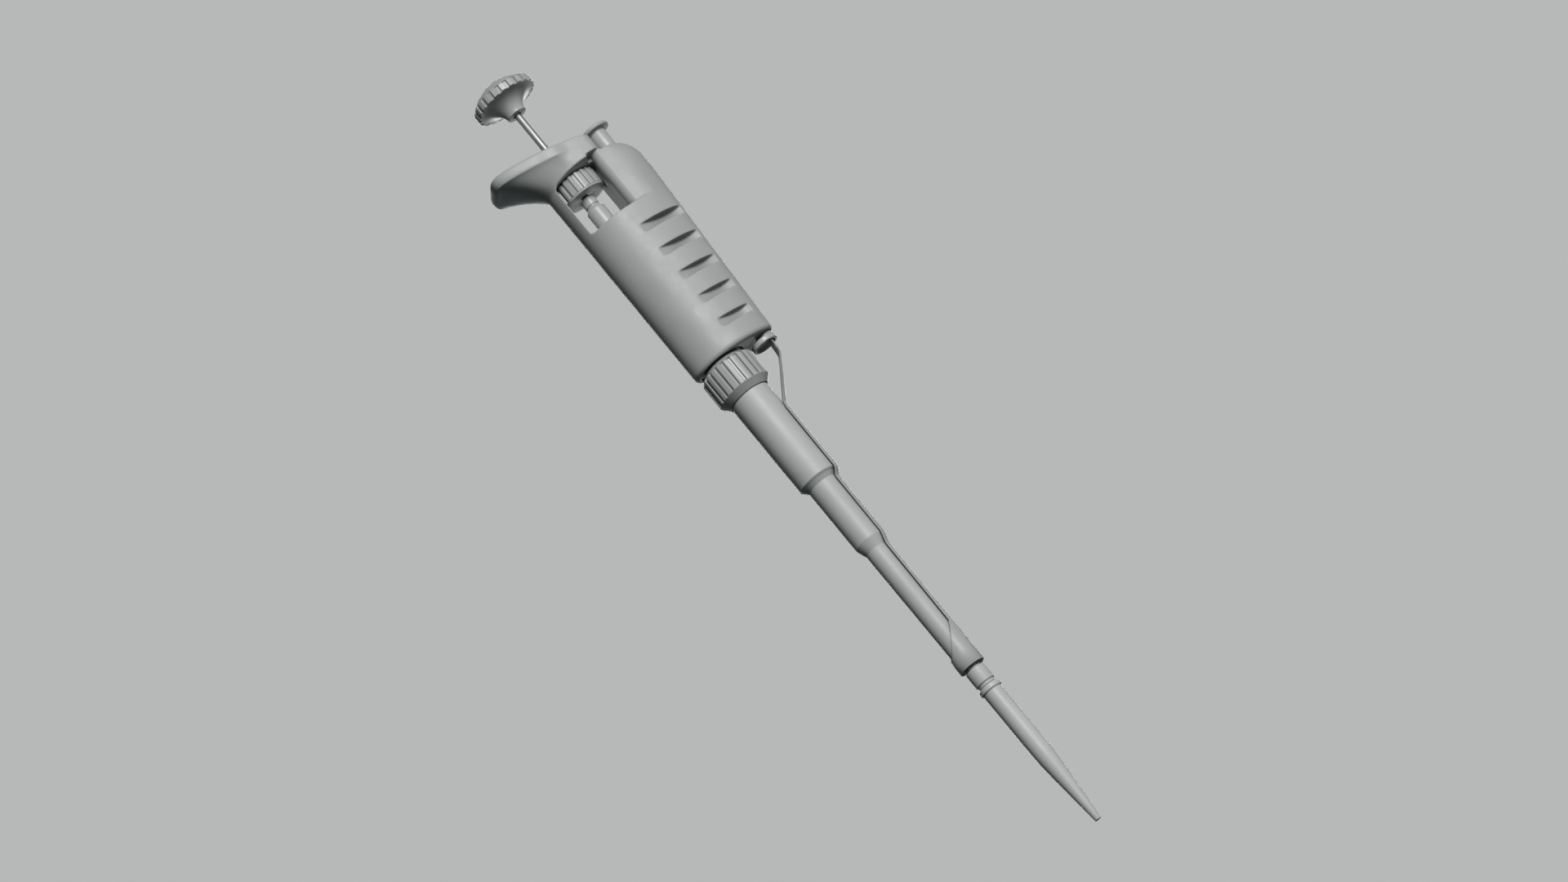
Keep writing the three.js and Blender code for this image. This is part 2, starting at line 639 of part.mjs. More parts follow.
const pipette = new THREE.Group();
pipette.add(
  part('handle', handleGeometry(), 'handle'),
  part('display_window', displayWindow(), 'clear'),
  part('rod_bushing', rodBushing(), 'white'),
  part('chassis_tube', chassisTube(), 'dark'),
  part('micrometer_nut', micrometerNut(), 'brass'),
  part('push_button', pushButton(), 'plastic'),
  part('button_insert', buttonInsert(), 'dark'),
  part('push_rod', pushRod(), 'steel'),
  part('rod_collar', rodCollar(), 'steel'),
  part('piston', piston(), 'steel'),
  part('main_spring', mainSpring(), 'steel'),
  part('blowout_washer', blowoutWasher(), 'steel'),
  part('blowout_spring', blowoutSpring(), 'steel'),
  part('seal_retainer', sealRetainer(), 'dark'),
  part('ptfe_seal', ptfeSeal(), 'white'),
  part('o_ring', oRing(), 'rubber'),
  part('thumbwheel', thumbwheel(), 'plastic'),
  part('drive_sleeve', driveSleeve(), 'plastic'),
  part('units_drum', drum(0), 'white'),
  part('tens_drum', drum(1), 'white'),
  part('hundreds_drum', drum(2), 'white'),
  part('stop_screw', stopScrew(), 'brass'),
  part('tip_holder', tipHolder(), 'handle'),
  part('connecting_nut', connectingNut(), 'plastic'),
  part('clamp_ring', clampRing(), 'steel'),
  part('pipette_tip', pipetteTip(), 'tip'),
  part('ejector_button', ejectorButton(), 'plastic'),
  part('ejector_rod', ejectorRod(), 'steel'),
  part('ejector_foot', ejectorFoot(), 'plastic'),
  part('ejector_spring', ejectorSpring(), 'steel'),
  part('ejector_arm', ejectorArm(), 'steel'),
);

export default pipette;
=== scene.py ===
import math

import bpy
from mathutils import Matrix, Vector


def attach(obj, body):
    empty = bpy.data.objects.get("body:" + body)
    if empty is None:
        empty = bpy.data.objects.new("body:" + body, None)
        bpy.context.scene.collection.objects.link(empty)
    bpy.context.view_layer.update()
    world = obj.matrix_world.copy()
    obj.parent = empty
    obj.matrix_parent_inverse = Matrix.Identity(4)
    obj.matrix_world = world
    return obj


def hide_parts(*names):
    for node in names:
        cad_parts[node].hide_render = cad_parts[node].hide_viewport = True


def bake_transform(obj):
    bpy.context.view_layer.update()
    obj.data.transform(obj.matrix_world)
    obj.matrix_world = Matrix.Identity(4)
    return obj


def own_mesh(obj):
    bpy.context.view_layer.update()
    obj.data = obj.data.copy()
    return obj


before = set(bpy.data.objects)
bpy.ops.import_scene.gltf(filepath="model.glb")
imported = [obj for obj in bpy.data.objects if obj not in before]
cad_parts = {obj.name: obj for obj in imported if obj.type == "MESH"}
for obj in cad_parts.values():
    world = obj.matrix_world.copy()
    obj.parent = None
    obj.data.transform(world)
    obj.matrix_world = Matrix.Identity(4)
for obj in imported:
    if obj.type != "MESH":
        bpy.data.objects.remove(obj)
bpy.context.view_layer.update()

MM = 0.001
TAU = 2 * math.pi

# ------------------------------------------------------------------ sizes, in millimetres
HANDLE_BOTTOM = -80.8
TAPER_TOP = -18.0
# The grip's section, at the taper's top and at the handle's bottom.
OVAL_CENTRE, OVAL_BACK, OVAL_WIDTH = (3.5, 2.6), (18.4, 16.1), (10.06, 9.05)
OVAL_COUNT = 160
TOWER_TOP, TOWER_ROUND, TOWER_FACE, TOWER_CORNER = -6.7, 7.2, 8.2, 2.6
WINDOW_FLOOR = -26.8
WINDOW_LEFT, WINDOW_RIGHT = -7.1, 7.4
WINDOW_TOP, WINDOW_TOP_SLOPE = -7.9, 0.03
FRONT_X = -9.55
REST_TOP, REST_SLOPE, REST_THICKNESS = 1.5, 0.14, 3.5
REST_REACH, REST_HALF_WIDTH, REST_BACK_END = 21.6, 11.1, 10.9
COVE_BOTTOM, COVE_POWER, COVE_NEAR_HEIGHT = -9.0, 1.4, 4.4
GRIP_COUNT, GRIP_BOTTOM, GRIP_PITCH, GRIP_HEIGHT = 5, -36.8, 9.35, 2.9
KNOB_APEX, KNOB_SPHERE, KNOB_RADIUS, KNOB_NECK_BOTTOM = 31.7, 13.9, 10.25, 19.6
KNOB_NOTCHES, WHEEL_RIBS, NUT_RIBS = 22, 20, 22
WHEEL_TOP, WHEEL_BOTTOM = -7.8, -14.2
DRUM_RADIUS, DRUM_HEIGHT, DIGIT_HEIGHT = 6.15, 3.6, 4.1
SPRING_BOTTOM, SPRING_TOP = -115.6, -69.6
EJECTOR_X = 15.1
EJECTOR_SPRING_BOTTOM, EJECTOR_SPRING_TOP = -49.7, -20.3
SHEET = 0.45                        # thickness of the ejector arm


# ------------------------------------------------------------------ mesh helpers
def new_object(name, points, faces, smooth_angle=35):
    mesh = bpy.data.meshes.new(name)
    mesh.from_pydata([Vector(p) * MM for p in points], [], faces)
    mesh.validate()
    mesh.update()
    mesh.polygons.foreach_set("use_smooth", [True] * len(mesh.polygons))
    if smooth_angle:
        mesh.set_sharp_from_angle(angle=math.radians(smooth_angle))
    obj = bpy.data.objects.new(name, mesh)
    bpy.context.scene.collection.objects.link(obj)
    return obj


def lerp(a, b, t):
    return a + (b - a) * t


def smoothstep(t):
    t = max(0.0, min(1.0, t))
    return t * t * (3 - 2 * t)


def eased(points, radius=0.25, steps=4):
    """A profile whose corners are rounded. A point is (r, z) or (r, z, its own corner radius)."""
    closed = points[0][:2] == points[-1][:2]
    core = points[:-1] if closed else points
    out = []
    for i, point in enumerate(core):
        here = Vector(point[:2])
        own = point[2] if len(point) > 2 else radius
        if (not closed and i in (0, len(core) - 1)) or own == 0:
            out.append((here.x, here.y))
            continue
        before = Vector(core[i - 1][:2]) - here
        after = Vector(core[(i + 1) % len(core)][:2]) - here
        angle = before.angle(after)
        if angle > math.radians(172):
            out.append((here.x, here.y))
            continue
        reach = min(own / math.tan(angle / 2), 0.45 * before.length, 0.45 * after.length)
        a = here + before.normalized() * reach
        b = here + after.normalized() * reach
        for k in range(steps + 1):
            t = k / steps
            p = a * (1 - t) ** 2 + here * 2 * t * (1 - t) + b * t**2
            out.append((p.x, p.y))
    if closed:
        out.append(out[0])
    return out


def turned(name, profile, segments=128, centre_x=0.0, ribs=None, smooth_angle=35):
    """A turned piece about Z. ribs(angle, r, z) gives how far the surface draws in there."""
    closed = profile[0] == profile[-1]
    rows = profile[:-1] if closed else profile
    points, faces, starts = [], [], []
    for r, z in rows:
        starts.append(len(points))
        if r < 1e-6:
            points.append((centre_x, 0, z))
            continue
        for i in range(segments):
            a = TAU * i / segments
            radius = r - (ribs(a, r, z) if ribs else 0)
            points.append((centre_x + radius * math.cos(a), radius * math.sin(a), z))
    pairs = list(zip(range(len(rows)), range(1, len(rows))))
    if closed:
        pairs.append((len(rows) - 1, 0))
    for low, high in pairs:
        low_point, high_point = rows[low][0] < 1e-6, rows[high][0] < 1e-6
        if low_point and high_point:
            continue
        for i in range(segments):
            j = (i + 1) % segments
            a, b = starts[low] + i, starts[low] + j
            c, d = starts[high] + j, starts[high] + i
            if low_point:
                faces.append((starts[low], c, d))
            elif high_point:
                faces.append((a, b, starts[high]))
            else:
                faces.append((a, b, c, d))
    obj = new_object(name, points, faces, smooth_angle)
    face_outward(obj)
    return obj


def face_outward(obj):
    bpy.context.view_layer.objects.active = obj
    for other in bpy.context.selected_objects:
        other.select_set(False)
    obj.select_set(True)
    bpy.ops.object.mode_set(mode="EDIT")
    bpy.ops.mesh.select_all(action="SELECT")
    bpy.ops.mesh.normals_make_consistent(inside=False)
    bpy.ops.object.mode_set(mode="OBJECT")
    obj.select_set(False)


def lofted(name, rings, capped=True, smooth_angle=35):
    count = len(rings[0])
    points = [p for ring in rings for p in ring]
    faces = []
    for r in range(len(rings) - 1):
        for i in range(count):
            j = (i + 1) % count
            a, b = r * count + i, r * count + j
            faces.append((a, b, b + count, a + count))
    if capped:
        last = (len(rings) - 1) * count
        faces.append(tuple(reversed(range(count))))
        faces.append(tuple(range(last, last + count)))
    obj = new_object(name, points, faces, smooth_angle)
    face_outward(obj)
    return obj


def prism(name, outline, axis, low, high):
    """An outline in two directions, pushed along the third from low to high."""
    def place(u, v, w):
        return {"x": (w, u, v), "y": (u, w, v), "z": (u, v, w)}[axis]
    rings = [[place(u, v, w) for u, v in outline] for w in (low, high)]
    return lofted(name, rings, smooth_angle=0)


def rounded_outline(corners, steps=8):
    """A closed outline from (u, v, radius) corners."""
    return eased([*corners, corners[0]], steps=steps)[:-1]


def boolean(obj, tools, operation):
    group = bpy.data.collections.new("tools")
    bpy.context.scene.collection.children.link(group)
    for tool in tools:
        bpy.context.scene.collection.objects.unlink(tool)
        group.objects.link(tool)
    for tool in tools:
        change = obj.modifiers.new("cut", "BOOLEAN")
        change.operation = operation
        change.object = tool
        change.solver = "EXACT"
    settle(obj)
    for tool in tools:
        bpy.data.objects.remove(tool)
    bpy.data.collections.remove(group)


def settle(obj):
    """Turns what the modifiers make into the mesh itself."""
    bpy.context.view_layer.update()
    evaluated = obj.evaluated_get(bpy.context.evaluated_depsgraph_get())
    mesh = bpy.data.meshes.new_from_object(evaluated)
    old = obj.data
    obj.modifiers.clear()
    obj.data = mesh
    bpy.data.meshes.remove(old)


def soften(obj, voxel, rounds):
    """Rounds every edge a little, as a mould does."""
    remesh = obj.modifiers.new("remesh", "REMESH")
    remesh.mode = "VOXEL"
    remesh.voxel_size = voxel * MM
    remesh.use_smooth_shade = True
    smooth = obj.modifiers.new("smooth", "SMOOTH")
    smooth.factor = 0.5
    smooth.iterations = rounds
    settle(obj)


def joined(name, *objects):
    first = objects[0]
    for other in bpy.context.selected_objects:
        other.select_set(False)
    for obj in objects:
        obj.select_set(True)
    bpy.context.view_layer.objects.active = first
    bpy.ops.object.join()
    first.name = name
    first.select_set(False)
    return first


# ------------------------------------------------------------------ materials
class Nodes:
    """Builds a material's node tree with short calls."""

    def __init__(self, name):
        self.material = bpy.data.materials.new(name)
        self.material.use_nodes = True
        self.tree = self.material.node_tree
        self.tree.nodes.clear()
        self.shader = self.add("ShaderNodeBsdfPrincipled")
        output = self.add("ShaderNodeOutputMaterial")
        self.link(self.shader.outputs[0], output.inputs["Surface"])
        self.place = self.add("ShaderNodeTexCoord").outputs["Object"]

    def add(self, kind, **settings):
        node = self.tree.nodes.new(kind)
        for key, value in settings.items():
            setattr(node, key, value)
        return node

    def link(self, a, b):
        self.tree.links.new(a, b)

    def noise(self, grain, detail=3.0, roughness=0.5):
        """Noise whose grain is the given size in millimetres along x, y and z."""
        mapping = self.add("ShaderNodeMapping")
        mapping.inputs["Scale"].default_value = [1 / (size * MM) for size in grain]
        self.link(self.place, mapping.inputs["Vector"])
        noise = self.add("ShaderNodeTexNoise")
        noise.inputs["Scale"].default_value = 1
        noise.inputs["Detail"].default_value = detail
        noise.inputs["Roughness"].default_value = roughness
        self.link(mapping.outputs[0], noise.inputs["Vector"])
        return noise.outputs[0]

    def ranged(self, source, low, high, start=0.3, end=0.7):
        node = self.add("ShaderNodeMapRange")
        node.inputs["From Min"].default_value = start
        node.inputs["From Max"].default_value = end
        node.inputs["To Min"].default_value = low
        node.inputs["To Max"].default_value = high
        self.link(source, node.inputs["Value"])
        return node.outputs[0]

    def times(self, a, b):
        node = self.add("ShaderNodeMath", operation="MULTIPLY")
        self.link(a, node.inputs[0])
        self.link(b, node.inputs[1])
        return node.outputs[0]

    def shade(self, colour, factor):
        node = self.add("ShaderNodeMixRGB", blend_type="MULTIPLY")
        node.inputs["Fac"].default_value = 1
        node.inputs["Color1"].default_value = (*colour, 1)
        self.link(factor, node.inputs["Color2"])
        self.link(node.outputs[0], self.shader.inputs["Base Color"])

    def bumps(self, *layers):
        """Each layer is (height source, height in millimetres)."""
        normal = None
        for height, depth in layers:
            bump = self.add("ShaderNodeBump")
            bump.inputs["Strength"].default_value = 1
            bump.inputs["Distance"].default_value = depth * MM
            self.link(height, bump.inputs["Height"])
            if normal:
                self.link(normal, bump.inputs["Normal"])
            normal = bump.outputs[0]
        self.link(normal, self.shader.inputs["Normal"])

    # Painted shade: ambient occlusion darkens the base colour in crevices and hollows, down to darkest.
    def crevices(self, reach, darkest):
        node = self.add("ShaderNodeAmbientOcclusion", samples=8)
        node.inputs["Distance"].default_value = reach * MM
        return self.ranged(node.outputs["AO"], darkest, 1.0, 0.2, 0.9)


def plastic(name, colour, roughness, grain=0.35, depth=0.012, crevice_shade=0.62, spread=0.05, reach=1.6):
    """Moulded plastic: spark-eroded texture, faint cloudy tone, handling marks, painted shade darkening the
    crevices.
    """
    sheen_patch = 0.07
    m = Nodes(name)
    cloud = m.ranged(m.noise((9, 9, 14), 4), 1 - spread, 1 + spread * 0.4)
    speck = m.ranged(m.noise((0.3, 0.3, 0.3), 2), 0.975, 1.02)
    # The base colour's tone: random cloud and specks, times painted shade in the crevices.
    tone = m.times(m.times(cloud, speck), m.crevices(reach, crevice_shade))
    m.shade(colour, tone)
    marks = m.noise((5, 5, 7), 5, 0.6)
    m.link(m.ranged(marks, roughness - sheen_patch, roughness + sheen_patch), m.shader.inputs["Roughness"])
    texture = m.noise((grain, grain, grain), 2, 0.6)
    flow = m.noise((6, 6, 18), 2)
    m.bumps((texture, depth), (flow, 0.05))
    return m


def metal(name, colour, roughness, grain):
    """Metal with fine lines: grain is the mark's size along x, y and z."""
    depth, spread = 0.004, 0.06
    m = Nodes(name)
    m.shader.inputs["Metallic"].default_value = 1
    lines = m.noise(grain, 4, 0.65)
    cloud = m.noise((6, 6, 11), 3)
    tone = m.times(m.ranged(lines, 1 - spread, 1), m.ranged(cloud, 0.93, 1.0))
    # Painted shade: ambient occlusion darkens the base colour in crevices.
    m.shade(colour, m.times(tone, m.crevices(1.2, 0.6)))
    smudge = m.ranged(m.noise((4, 4, 6), 5, 0.6), roughness - 0.06, roughness + 0.1)
    m.link(m.times(smudge, m.ranged(lines, 0.85, 1.15)), m.shader.inputs["Roughness"])
    m.bumps((lines, depth))
    return m


def clear_pane(name):
    m = Nodes(name)
    m.shader.inputs["Transmission Weight"].default_value = 1
    m.shader.inputs["IOR"].default_value = 1.49
    m.shade((0.93, 0.96, 0.96), m.ranged(m.noise((8, 8, 8), 2), 0.97, 1.0))
    m.link(m.ranged(m.noise((2, 2, 3), 5, 0.65), 0.03, 0.14), m.shader.inputs["Roughness"])
    m.bumps((m.noise((4, 4, 5), 2), 0.01))
    return m


def frosted_tip(name):
    m = plastic(name, (0.62, 0.63, 0.63), 0.42, grain=0.5, depth=0.006, crevice_shade=0.75, spread=0.03)
    m.shader.inputs["Subsurface Weight"].default_value = 0.12
    m.shader.inputs["Subsurface Radius"].default_value = (0.0012, 0.0012, 0.0012)
    m.shader.inputs["Subsurface Scale"].default_value = 1
    return m


# Each plastic's painted shade in crevices has a reach in millimetres and a darkest tone; the handle's is the
# deepest.
MATERIALS = {
    "handle": plastic("handle_grain", (0.43, 0.44, 0.44), 0.5, crevice_shade=0.42, reach=4),
    "shaft": plastic("shaft_satin", (0.55, 0.56, 0.56), 0.5, grain=0.5, depth=0.006, crevice_shade=0.5),
    "control": plastic(
        "control_satin", (0.46, 0.47, 0.47), 0.4, grain=0.45, depth=0.007, crevice_shade=0.4, reach=2.2,
    ),
    "insert": plastic("insert_matt", (0.34, 0.35, 0.36), 0.45, grain=0.3, depth=0.01),
    "dark": plastic("inner_grey", (0.2, 0.205, 0.21), 0.5),
    "white": plastic("white_smooth", (0.74, 0.75, 0.74), 0.42, grain=0.6, depth=0.004),
    "ink": plastic("digit_ink", (0.012, 0.012, 0.014), 0.5, grain=0.2, depth=0.003),
    "rubber": plastic("seal_rubber", (0.02, 0.02, 0.022), 0.75, grain=0.4, depth=0.01),
    "tip": frosted_tip("tip_frosted"),
    "clear": clear_pane("display_clear"),
    "rod": metal("rod_ground", (0.44, 0.45, 0.45), 0.52, (1.5, 1.5, 0.12)),
    "sheet": plastic("sheet_coated", (0.5, 0.51, 0.51), 0.44, grain=0.25, depth=0.006, crevice_shade=0.5),
    "brass": metal("brass_turned", (0.62, 0.5, 0.28), 0.32, (1.5, 1.5, 0.15)),
    "spring": metal("spring_wire", (0.5, 0.5, 0.51), 0.33, (0.3, 0.3, 0.3)),
}


def dress(obj, look, slot, *nodes):
    obj.data.materials.clear()
    obj.data.materials.append(MATERIALS[look].material)
    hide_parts(*nodes)


def finish_piece(obj, look, slot, body, *nodes):
    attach(obj, body)
    dress(obj, look, slot, *nodes)


# ------------------------------------------------------------------ handle
def oval_at(z):
    t = max(0.0, min(1.0, (TAPER_TOP - z) / (TAPER_TOP - HANDLE_BOTTOM)))
    centre, back, width = lerp(*OVAL_CENTRE, t), lerp(*OVAL_BACK, t), lerp(*OVAL_WIDTH, t)
    rise = max(0.0, min(1.0, (z - (TOWER_TOP - TOWER_ROUND)) / TOWER_ROUND))
    back -= 4.5 * (1 - math.sqrt(1 - rise * rise))
    return centre, back, centre - FRONT_X, width


def oval_ring(z, inset=0.0):
    centre, back, front, width = oval_at(z)
    ring = []
    for i in range(OVAL_COUNT):
        a = TAU * i / OVAL_COUNT
        reach = (back if math.cos(a) > 0 else front) - inset
        ring.append((centre + reach * math.cos(a), (width - inset) * math.sin(a), z))
    return ring


def rest_point(angle):
    """The finger rest's outline, a squarish curve, in the direction of the oval's own point."""
    centre, back, front, width = oval_at(TAPER_TOP)
    c, s = math.cos(angle), math.sin(angle)
    x, y = centre + (back if c > 0 else front) * c, width * s
    if c >= 0:
        return x, y
    direction = math.atan2(y, x - centre)
    power = 5
    along = abs(math.cos(direction) / (REST_REACH + centre)) ** power
    across = abs(math.sin(direction) / REST_HALF_WIDTH) ** power
    radius = (along + across) ** (-1 / power)
    blend = smoothstep(-c * 3)
    return lerp(x, centre + radius * math.cos(direction), blend), lerp(y, radius * math.sin(direction), blend)


def lower_body():
    edge = 1.3
    levels = []
    for k in range(7):
        a = math.pi / 2 * k / 6
        levels.append((HANDLE_BOTTOM + edge * (1 - math.cos(a)), edge * (1 - math.sin(a))))
    levels += [(lerp(HANDLE_BOTTOM + edge, TAPER_TOP, k / 12), 0) for k in range(1, 13)]
    for k in range(1, 14):
        a = math.pi / 2 * k / 14
        levels.append((TOWER_TOP - TOWER_ROUND * (1 - math.sin(a)), 0.5 * smoothstep((k - 10) / 4)))
    levels.append((TOWER_TOP, 1.2))
    return lofted("handle_lower", [oval_ring(z, inset) for z, inset in levels])


def upper_body():
    """The finger rest, with a cove under it that is deeper on the hook's side."""
    bottom = REST_TOP - REST_THICKNESS
    levels = []
    for k in range(25):
        s = math.sin(math.pi / 2 * k / 24)
        levels.append((lerp(COVE_BOTTOM, bottom, s), 0))
    for k in range(1, 12):
        a = math.pi * k / 12 - math.pi / 2
        levels.append((lerp(bottom, REST_TOP, (math.sin(a) + 1) / 2), 0.96 + 0.06 * math.cos(a)))
    levels.append((REST_TOP, 0.9))
    rings = []
    for z, lip in levels:
        tilt = max(0.0, min(1.0, (z - COVE_BOTTOM) / (bottom - COVE_BOTTOM)))
        base = oval_ring(TAPER_TOP)
        ring = []
        for i in range(OVAL_COUNT):
            angle = TAU * i / OVAL_COUNT
            hook_side = smoothstep((-math.cos(angle) - 0.35) / 0.5)
            height = lerp(COVE_NEAR_HEIGHT, bottom - COVE_BOTTOM, hook_side)
            s = max(0.0, min(1.0, (z - bottom + height) / height))
            out = lip or 1 - (1 - s**COVE_POWER) ** (1 / COVE_POWER)
            tx, ty = rest_point(angle)
            x, y = lerp(base[i][0], tx, out), lerp(base[i][1], ty, out)
            up = max(0.0, (z - bottom) / REST_THICKNESS)
            drop = 1.8 * smoothstep((x - 6.5) / 4.4) ** 2 * up
            ring.append((x, y, z - tilt * REST_SLOPE * x - drop))
        rings.append(ring)
    return lofted("handle_upper", rings)


def window_tool():
    """The window's slot, whose top edge opens upwards towards each broad face."""
    rings = []
    for k in range(-24, 25):
        y = 16 * k / 24
        lift = 0.7 * smoothstep((abs(y) - 6.2) / 3.6)
        right_top, left_top = (WINDOW_TOP + lift + WINDOW_TOP_SLOPE * x for x in (WINDOW_RIGHT, WINDOW_LEFT))
        corners = [
            (WINDOW_LEFT, WINDOW_FLOOR, 1.6), (WINDOW_RIGHT, WINDOW_FLOOR, 0.9),
            (WINDOW_RIGHT, right_top, 0.5), (WINDOW_LEFT, left_top, 2.0),
        ]
        rings.append([(x, y, z) for x, z in rounded_outline(corners)])
    return lofted("window_tool", rings, smooth_angle=0)


def tower_flat_tool(side):
    """Cuts one flat face of the tower, with a rounded corner where it turns in to the window."""
    face, corner = TOWER_FACE, TOWER_CORNER
    outline = [(WINDOW_RIGHT - 1.5, 16), (WINDOW_RIGHT - 1.5, face - corner)]
    for k in range(13):
        a = math.pi / 2 * k / 12
        outline.append((WINDOW_RIGHT + corner * (1 - math.cos(a)), face - corner * (1 - math.sin(a))))
    centre, back, _, width = oval_at(TAPER_TOP)
    for k in range(25):
        x = lerp(WINDOW_RIGHT + corner, 17.5, k / 24)
        oval = width * math.sqrt(1 - ((x - centre) / back) ** 2)
        near = max(0.0, 1 - abs(oval - face) / 1.8)
        outline.append((x, min(oval, face) - 0.45 * near * near))
    outline += [(26, outline[-1][1]), (26, 16)]
    top = TOWER_TOP + 0.45
    return prism("tower_tool", [(x, side * y) for x, y in outline], "z", WINDOW_FLOOR, top)


def grip_tool(i, side):
    """Cuts one thumb grip, dished along the oval and deepest near its outer end."""
    bottom = GRIP_BOTTOM - GRIP_PITCH * i
    centre, back, _, width = oval_at(bottom + GRIP_HEIGHT / 2)

    def on_oval(x):
        return width * math.sqrt(max(0.0, 1 - ((x - centre) / back) ** 2))
    start_x, end_x = 4.8, centre + back - 1.2 - 0.4 * i
    start = Vector((start_x, on_oval(start_x)))
    end = Vector((end_x, on_oval(end_x)))
    along = (end - start).normalized()
    out = Vector((-along.y, along.x))
    dish = start.lerp(end, 0.74) - out * 2.3
    floor = []
    for k in range(17):
        t = k / 16
        floor.append(start * (1 - t) ** 2 + dish * 2 * t * (1 - t) + end * t**2)
    outline = [(p.x, side * p.y) for p in floor]
    outline += [(p.x, side * p.y) for p in (end + out * 6, start + out * 6)]
    return prism("grip_tool", outline, "z", bottom, bottom + GRIP_HEIGHT)


def bore_tool(radius, low, high, x=0.0):
    return turned("bore_tool", [(0, low), (radius, low), (radius, high), (0, high)], 96, x, smooth_angle=0)


def block_tool(low, high):
    outline = [(low[0], low[1]), (high[0], low[1]), (high[0], high[1]), (low[0], high[1])]
    return prism("block_tool", outline, "z", low[2], high[2])


def make_handle():
    upper = upper_body()
    scallop = bore_tool(5.6, TOWER_TOP, 20, EJECTOR_X)
    round_end = 3
    flat_end = REST_BACK_END - round_end
    corner = []
    for k in range(13):
        a = math.pi / 2 * k / 12
        corner.append((flat_end + round_end * math.cos(a), 6.8 + round_end * math.sin(a)))
    end_outline = [*corner, (flat_end, 16), (40, 16), (40, -16), (flat_end, -16)]
    end_outline += [(x, -y) for x, y in reversed(corner)]
    end_tool = prism("end_tool", end_outline, "z", COVE_BOTTOM - 5, 20)
    boolean(upper, [end_tool, scallop], "DIFFERENCE")
    handle = lower_body()
    boolean(handle, [upper], "UNION")
    tools = [
        window_tool(), tower_flat_tool(1), tower_flat_tool(-1),
        bore_tool(7.6, -15, -7.6), bore_tool(2.7, -12, 6), bore_tool(3.4, -29, WINDOW_FLOOR + 1),
        bore_tool(6.7, -43.5, -28.4), bore_tool(7.55, -85, -43.2),
        bore_tool(3.2, -50, 0, EJECTOR_X), bore_tool(1.85, -69, -49, EJECTOR_X),
        bore_tool(2.85, -85, -68.4, EJECTOR_X),
        block_tool((-3.6, 7.5, -42.1), (4.2, 14, -29.3)), block_tool((-2.3, 4, -41), (2.9, 8, -30.4)),
    ]
    tools += [grip_tool(i, side) for i in range(GRIP_COUNT) for side in (-1, 1)]
    boolean(handle, tools, "DIFFERENCE")
    soften(handle, 0.24, 9)
    handle.name = "handle_moulding"
    finish_piece(handle, "handle", "handle_plastic", "body", "handle")


def make_display_pane():
    """A pane bowed like the handle's face, with eased edges."""
    low_x, high_x, low_z, high_z, seat = -3.25, 3.85, -41.75, -29.65, 7.72
    columns, rows = 24, 32
    points, faces = [], []
    for side in (0, 1):
        for j in range(rows + 1):
            z = lerp(low_z, high_z, j / rows)
            centre, back, front, width = oval_at(z)
            for i in range(columns + 1):
                x = lerp(low_x, high_x, i / columns)
                reach = back if x > centre else front
                y = width * math.sqrt(1 - ((x - centre) / reach) ** 2) - 0.3
                edge = min(x - low_x, high_x - x, z - low_z, high_z - z)
                y -= 0.25 * (1 - smoothstep(edge / 0.6))
                points.append((x, y if side else seat, z))
    layer = (columns + 1) * (rows + 1)
    for j in range(rows):
        for i in range(columns):
            a = j * (columns + 1) + i
            quad = (a, a + 1, a + columns + 2, a + columns + 1)
            faces.append(quad)
            faces.append(tuple(layer + v for v in reversed(quad)))
    rim = [i for i in range(columns + 1)]
    rim += [j * (columns + 1) + columns for j in range(1, rows + 1)]
    rim += [rows * (columns + 1) + i for i in range(columns - 1, -1, -1)]
    rim += [j * (columns + 1) for j in range(rows - 1, 0, -1)]
    for k, a in enumerate(rim):
        b = rim[(k + 1) % len(rim)]
        faces.append((a, b, b + layer, a + layer))
    pane = new_object("display_pane", points, faces)
    face_outward(pane)
    finish_piece(pane, "clear", "clear_pane", "body", "display_window")


# ------------------------------------------------------------------ ribs
def ribs(count, depth, share, low, high, fade=0.25, phase=0.0):
    """Notches between ribs, from low to high, that run out over a short fade."""
    def inward(angle, r, z):
        part = (angle / TAU * count + phase) % 1
        flank = 0.07
        notch = smoothstep((part - share) / flank) * smoothstep((1 - part) / flank)
        ends = smoothstep((z - low) / fade) * smoothstep((high - z) / fade)
        return depth * notch * ends
    return inward


def dense(profile, low, high, step=0.2):
    """More profile points between two heights, so that ribs have rows to bend."""
    out = [profile[0]]
    for a, b in zip(profile, profile[1:]):
        if max(a[1], b[1]) > low and min(a[1], b[1]) < high:
            parts = max(1, math.ceil(math.dist(a, b) / step))
            out += [(lerp(a[0], b[0], k / parts), lerp(a[1], b[1], k / parts)) for k in range(1, parts)]
        out.append(b)
    return out


